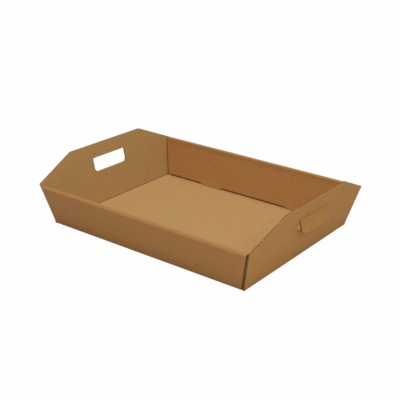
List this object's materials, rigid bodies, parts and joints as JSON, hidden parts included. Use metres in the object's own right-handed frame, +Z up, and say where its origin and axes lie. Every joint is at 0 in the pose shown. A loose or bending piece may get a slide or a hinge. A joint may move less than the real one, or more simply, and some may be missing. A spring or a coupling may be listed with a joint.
{
  "type": "cardboard tray box",
  "caption": "Low open tray box folded from fluted board, with leaning walls, rolled long sides and taller end panels with hand holes.",
  "frame": {"origin": "centre of the base's underside", "axes": "+X runs along the tray to the right end, +Y to the back wall, +Z up"},
  "size_m": [0.469, 0.3532, 0.1089],
  "materials": {
    "kraft_board": "matte"
  },
  "bodies": {
    "tray": {"tray": "kraft_board"},
    "handle_flap_right": {"handle_flap_right": "kraft_board"},
    "handle_flap_left": {"handle_flap_left": "kraft_board"}
  },
  "joints": [
    {"name": "right_flap_crease", "type": "hinge", "parent": "tray", "child": "handle_flap_right", "pos_m": [0.22073, 0, 0.08346], "axis": [0, -1, 0], "range_deg": [-32, 138]},
    {"name": "left_flap_crease", "type": "hinge", "parent": "tray", "child": "handle_flap_left", "pos_m": [-0.22073, 0, 0.08346], "axis": [0, 1, 0], "range_deg": [-150, 20]}
  ]
}
